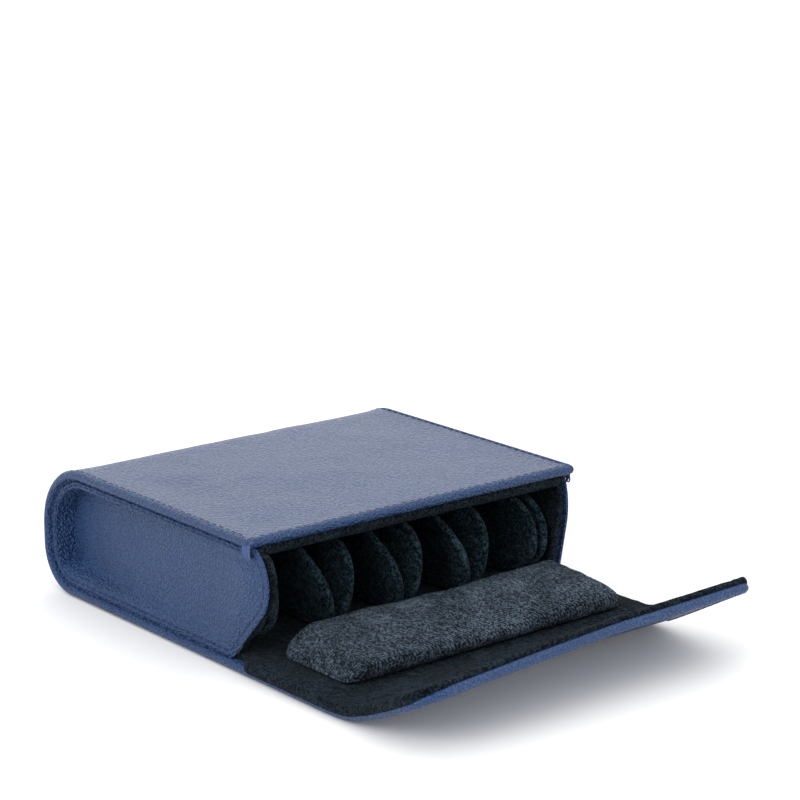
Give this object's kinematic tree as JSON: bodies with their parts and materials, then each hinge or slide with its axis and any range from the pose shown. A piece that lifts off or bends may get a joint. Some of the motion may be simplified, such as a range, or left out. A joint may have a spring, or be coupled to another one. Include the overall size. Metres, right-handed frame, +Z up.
{
  "type": "leather jewellery case",
  "caption": "Soft blue case with a rounded back, recessed side gussets, a folding front flap with a padded velvet inside, and paired velvet dividers.",
  "frame": {"origin": "middle of the case's base, on the surface it stands on", "axes": "+X along the width, to the right seen from the open front; -Y out of the open front, where the flap lies; +Z up"},
  "size_m": [0.14, 0.2119, 0.046],
  "materials": {
    "leather": "fine pebble grain, semi-matte, slate blue",
    "velvet": "short-pile velvet, blue-black",
    "divider_velvet": "short-pile velvet, blue-black",
    "pad_velvet": "ribbed short-pile velvet, blue-black",
    "card": "grey-brown stiffener card",
    "foam": "open-cell foam",
    "magnet": "nickel-plated disc",
    "thread": "bonded sewing thread, dark blue"
  },
  "bodies": {
    "case": {"back_board": "card", "base_board": "card", "body_lining": "velvet", "corner_tack_left": "thread", "corner_tack_right": "thread", "cover_leather": "leather", "gusset_board_left": "card", "gusset_board_right": "card", "gusset_leather_left": "leather", "gusset_leather_right": "leather", "gusset_lining_left": "velvet", "gusset_lining_right": "velvet", "gusset_stitching_left": "thread", "gusset_stitching_right": "thread", "top_board": "card", "top_magnet_1": "magnet", "top_magnet_2": "magnet", "top_stitching": "thread"},
    "flap_front": {"front_board": "card", "front_leather": "leather", "front_lining": "velvet", "front_stitching": "thread", "pad_cover": "pad_velvet", "pad_foam": "foam"},
    "flap_fold": {"fold_leather": "leather", "fold_lining": "velvet"},
    "flap_lip": {"lip_board": "card", "lip_leather": "leather", "lip_lining": "velvet", "lip_magnet_1": "magnet", "lip_magnet_2": "magnet", "lip_stitching": "thread"},
    "divider_1_left": {"divider_1_left_card": "card", "divider_1_left_velvet": "divider_velvet"},
    "divider_1_right": {"divider_1_right_card": "card", "divider_1_right_velvet": "divider_velvet"},
    "divider_2_left": {"divider_2_left_card": "card", "divider_2_left_velvet": "divider_velvet"},
    "divider_2_right": {"divider_2_right_card": "card", "divider_2_right_velvet": "divider_velvet"},
    "divider_3_left": {"divider_3_left_card": "card", "divider_3_left_velvet": "divider_velvet"},
    "divider_3_right": {"divider_3_right_card": "card", "divider_3_right_velvet": "divider_velvet"},
    "divider_4_left": {"divider_4_left_card": "card", "divider_4_left_velvet": "divider_velvet"},
    "divider_4_right": {"divider_4_right_card": "card", "divider_4_right_velvet": "divider_velvet"},
    "divider_5_left": {"divider_5_left_card": "card", "divider_5_left_velvet": "divider_velvet"},
    "divider_5_right": {"divider_5_right_card": "card", "divider_5_right_velvet": "divider_velvet"}
  },
  "joints": [
    {"name": "front_hinge", "type": "hinge", "parent": "case", "child": "flap_front", "pos_m": [0, -0.056, 0.001], "axis": [-1, 0, 0], "range_deg": [0, 66], "deforming": ["pad_cover", "pad_foam", "gusset_leather_left", "gusset_leather_right", "gusset_lining_left", "gusset_lining_right", "gusset_stitching_left", "gusset_stitching_right"]},
    {"name": "fold_hinge", "type": "hinge", "parent": "flap_front", "child": "flap_fold", "pos_m": [0, -0.09895, 0.001], "axis": [-1, 0, 0], "range_deg": [-13, 44], "stiffness_Nm_per_rad": 0.06, "springref_deg": 6.88},
    {"name": "lip_hinge", "type": "hinge", "parent": "flap_fold", "child": "flap_lip", "pos_m": [0, -0.11064, 0.0037], "axis": [-1, 0, 0], "range_deg": [-14, 43], "stiffness_Nm_per_rad": 0.05, "springref_deg": 5.73},
    {"name": "divider_1_left_fold", "type": "hinge", "parent": "case", "child": "divider_1_left", "pos_m": [-0.0606, -0.0575, 0.0054], "axis": [0.0545, 0.9985, 0], "range_deg": [0, 1.5], "stiffness_Nm_per_rad": 0.03},
    {"name": "divider_1_right_fold", "type": "hinge", "parent": "case", "child": "divider_1_right", "pos_m": [-0.0566, -0.0575, 0.0054], "axis": [0.0545, 0.9985, 0], "range_deg": [-1.5, 10], "stiffness_Nm_per_rad": 0.03},
    {"name": "divider_2_left_fold", "type": "hinge", "parent": "case", "child": "divider_2_left", "pos_m": [-0.0313, -0.0575, 0.0054], "axis": [0.0273, 0.9996, 0], "range_deg": [-10, 6], "stiffness_Nm_per_rad": 0.03},
    {"name": "divider_2_right_fold", "type": "hinge", "parent": "case", "child": "divider_2_right", "pos_m": [-0.0273, -0.0575, 0.0054], "axis": [0.0273, 0.9996, 0], "range_deg": [-6, 10], "stiffness_Nm_per_rad": 0.03},
    {"name": "divider_3_left_fold", "type": "hinge", "parent": "case", "child": "divider_3_left", "pos_m": [-0.002, -0.0575, 0.0054], "axis": [0, 1, 0], "range_deg": [-10, 6], "stiffness_Nm_per_rad": 0.03},
    {"name": "divider_3_right_fold", "type": "hinge", "parent": "case", "child": "divider_3_right", "pos_m": [0.002, -0.0575, 0.0054], "axis": [0, 1, 0], "range_deg": [-6, 10], "stiffness_Nm_per_rad": 0.03},
    {"name": "divider_4_left_fold", "type": "hinge", "parent": "case", "child": "divider_4_left", "pos_m": [0.0273, -0.0575, 0.0054], "axis": [-0.0273, 0.9996, 0], "range_deg": [-10, 6], "stiffness_Nm_per_rad": 0.03},
    {"name": "divider_4_right_fold", "type": "hinge", "parent": "case", "child": "divider_4_right", "pos_m": [0.0313, -0.0575, 0.0054], "axis": [-0.0273, 0.9996, 0], "range_deg": [-6, 10], "stiffness_Nm_per_rad": 0.03},
    {"name": "divider_5_left_fold", "type": "hinge", "parent": "case", "child": "divider_5_left", "pos_m": [0.0566, -0.0575, 0.0054], "axis": [-0.0545, 0.9985, 0], "range_deg": [-10, 1.5], "stiffness_Nm_per_rad": 0.03},
    {"name": "divider_5_right_fold", "type": "hinge", "parent": "case", "child": "divider_5_right", "pos_m": [0.0606, -0.0575, 0.0054], "axis": [-0.0545, 0.9985, 0], "range_deg": [-1.5, 0], "stiffness_Nm_per_rad": 0.03}
  ]
}
